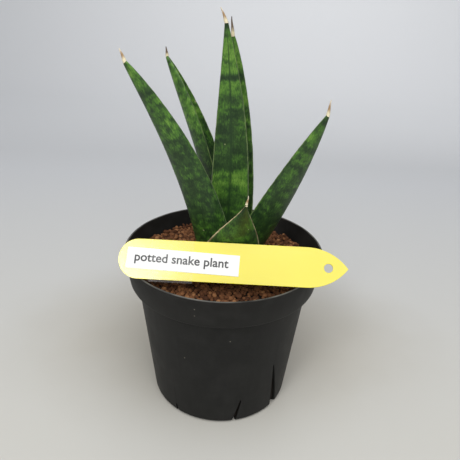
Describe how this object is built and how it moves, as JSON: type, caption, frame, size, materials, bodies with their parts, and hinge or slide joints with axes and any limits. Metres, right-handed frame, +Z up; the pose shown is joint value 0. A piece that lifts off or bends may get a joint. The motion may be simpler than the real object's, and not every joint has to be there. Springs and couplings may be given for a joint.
{
  "type": "potted snake plant",
  "caption": "Young snake plant with banded, channelled leaves in a black slit-sided nursery pot of clay granules, with a plastic plant label across the rim.",
  "frame": {"origin": "middle of the pot's underside, on the surface that the pot stands on", "axes": "+Z up along the pot's axis; -Y towards the side that the plant label faces; +X to the right when looking along +Y"},
  "size_m": [0.1273, 0.12, 0.2342],
  "materials": {
    "pot_plastic": "moulded black polypropylene, satin",
    "clay_granules": "rough, dry, reddish brown baked clay",
    "leaf": "smooth waxy leaf, dark green with lighter cross bands",
    "rhizome_rind": "matt tan rind",
    "label_plastic": "yellow, glossy",
    "sticker_paper": "white printed paper",
    "clear_tape": "clear glossy film"
  },
  "bodies": {
    "root": {"pot": "pot_plastic", "growing_medium": "clay_granules", "rhizome": "rhizome_rind", "root_1": "rhizome_rind", "root_2": "rhizome_rind", "root_3": "rhizome_rind", "root_4": "rhizome_rind", "root_5": "rhizome_rind", "root_6": "rhizome_rind", "leaf_front": "leaf", "leaf_left": "leaf", "leaf_right": "leaf", "leaf_centre": "leaf", "leaf_centre_back": "leaf", "leaf_back_left": "leaf", "plant_label": "label_plastic", "label_sticker": "sticker_paper", "label_tape": "clear_tape"}
  },
  "joints": []
}
